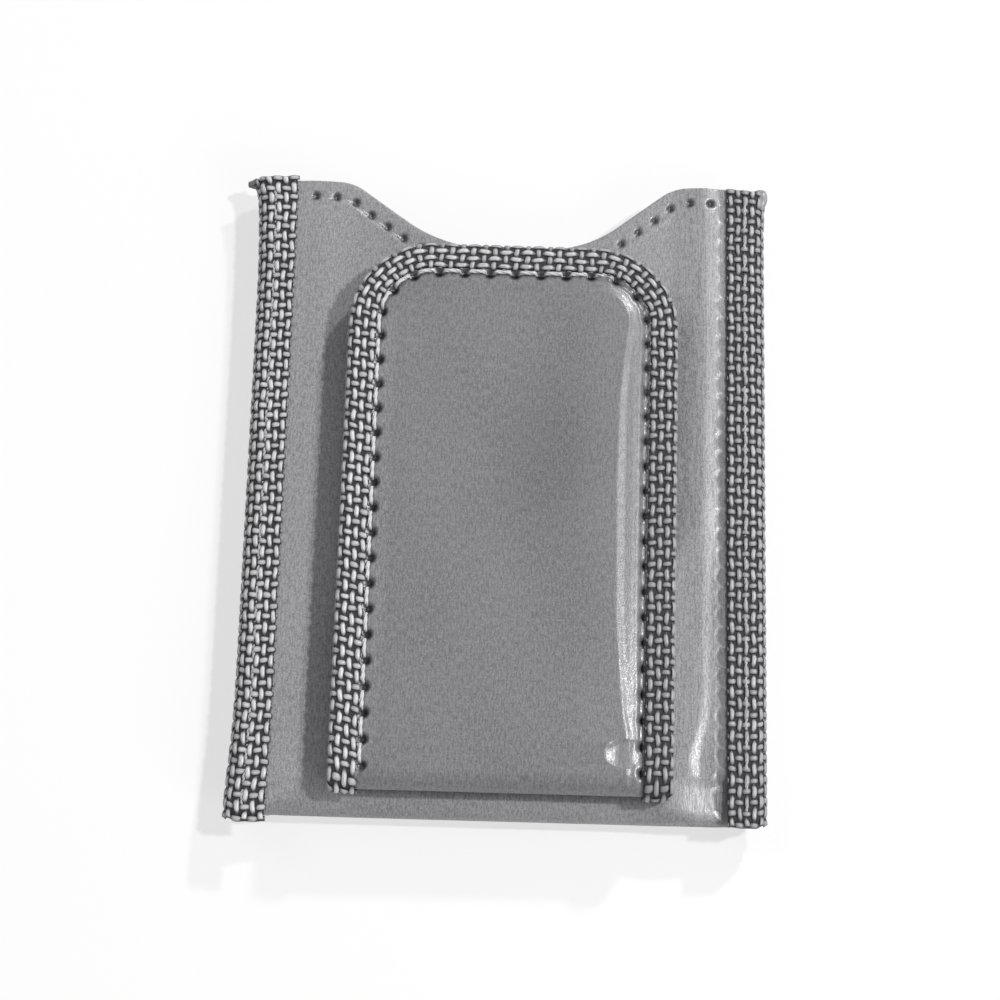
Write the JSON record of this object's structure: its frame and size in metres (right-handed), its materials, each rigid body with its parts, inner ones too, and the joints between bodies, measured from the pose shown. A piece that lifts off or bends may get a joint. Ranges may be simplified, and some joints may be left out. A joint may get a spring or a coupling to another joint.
{
  "type": "money clip wallet",
  "caption": "Slim card sleeve of woven steel textile with a thumb notch and bound sides, carrying a padded magnetic money clip flap that folds open at the bottom.",
  "frame": {"origin": "centre of the wallet's outline on the plane that its back panel lies on", "axes": "+X across the wallet to the right seen from the front, +Y along it towards the mouth, +Z out of the front"},
  "size_m": [0.0702, 0.0896, 0.0134],
  "materials": {
    "steel_textile": "satin silver-grey weave of fine stainless steel yarn",
    "lining_cloth": "matt dark grey nylon cloth",
    "binding_tape": "coarse light grey nylon tape in plain weave",
    "sewing_thread": "light grey twisted polyester thread",
    "pad_foam": "dark closed-cell foam",
    "magnet_nickel": "nickel-plated disc"
  },
  "bodies": {
    "sleeve": {"sleeve_shell": "steel_textile", "sleeve_lining": "lining_cloth", "left_side_binding": "binding_tape", "right_side_binding": "binding_tape", "left_seam_needle_thread": "sewing_thread", "left_seam_bobbin_thread": "sewing_thread", "right_seam_needle_thread": "sewing_thread", "right_seam_bobbin_thread": "sewing_thread", "front_mouth_needle_thread": "sewing_thread", "front_mouth_bobbin_thread": "sewing_thread", "back_mouth_needle_thread": "sewing_thread", "back_mouth_bobbin_thread": "sewing_thread", "base_face": "steel_textile", "base_lining": "steel_textile", "base_pad": "pad_foam", "base_magnet_left": "magnet_nickel", "base_magnet_right": "magnet_nickel", "base_binding": "binding_tape", "base_needle_thread": "sewing_thread", "base_bobbin_thread": "sewing_thread"},
    "clip_flap": {"flap_face": "steel_textile", "flap_lining": "steel_textile", "flap_pad": "pad_foam", "flap_magnet_left": "magnet_nickel", "flap_magnet_right": "magnet_nickel", "flap_binding": "binding_tape", "flap_needle_thread": "sewing_thread", "flap_bobbin_thread": "sewing_thread"}
  },
  "joints": [
    {"name": "clip_fold", "type": "hinge", "parent": "sleeve", "child": "clip_flap", "pos_m": [0, -0.042, 0.00991], "axis": [1, 0, 0], "range_deg": [0, 170]}
  ]
}
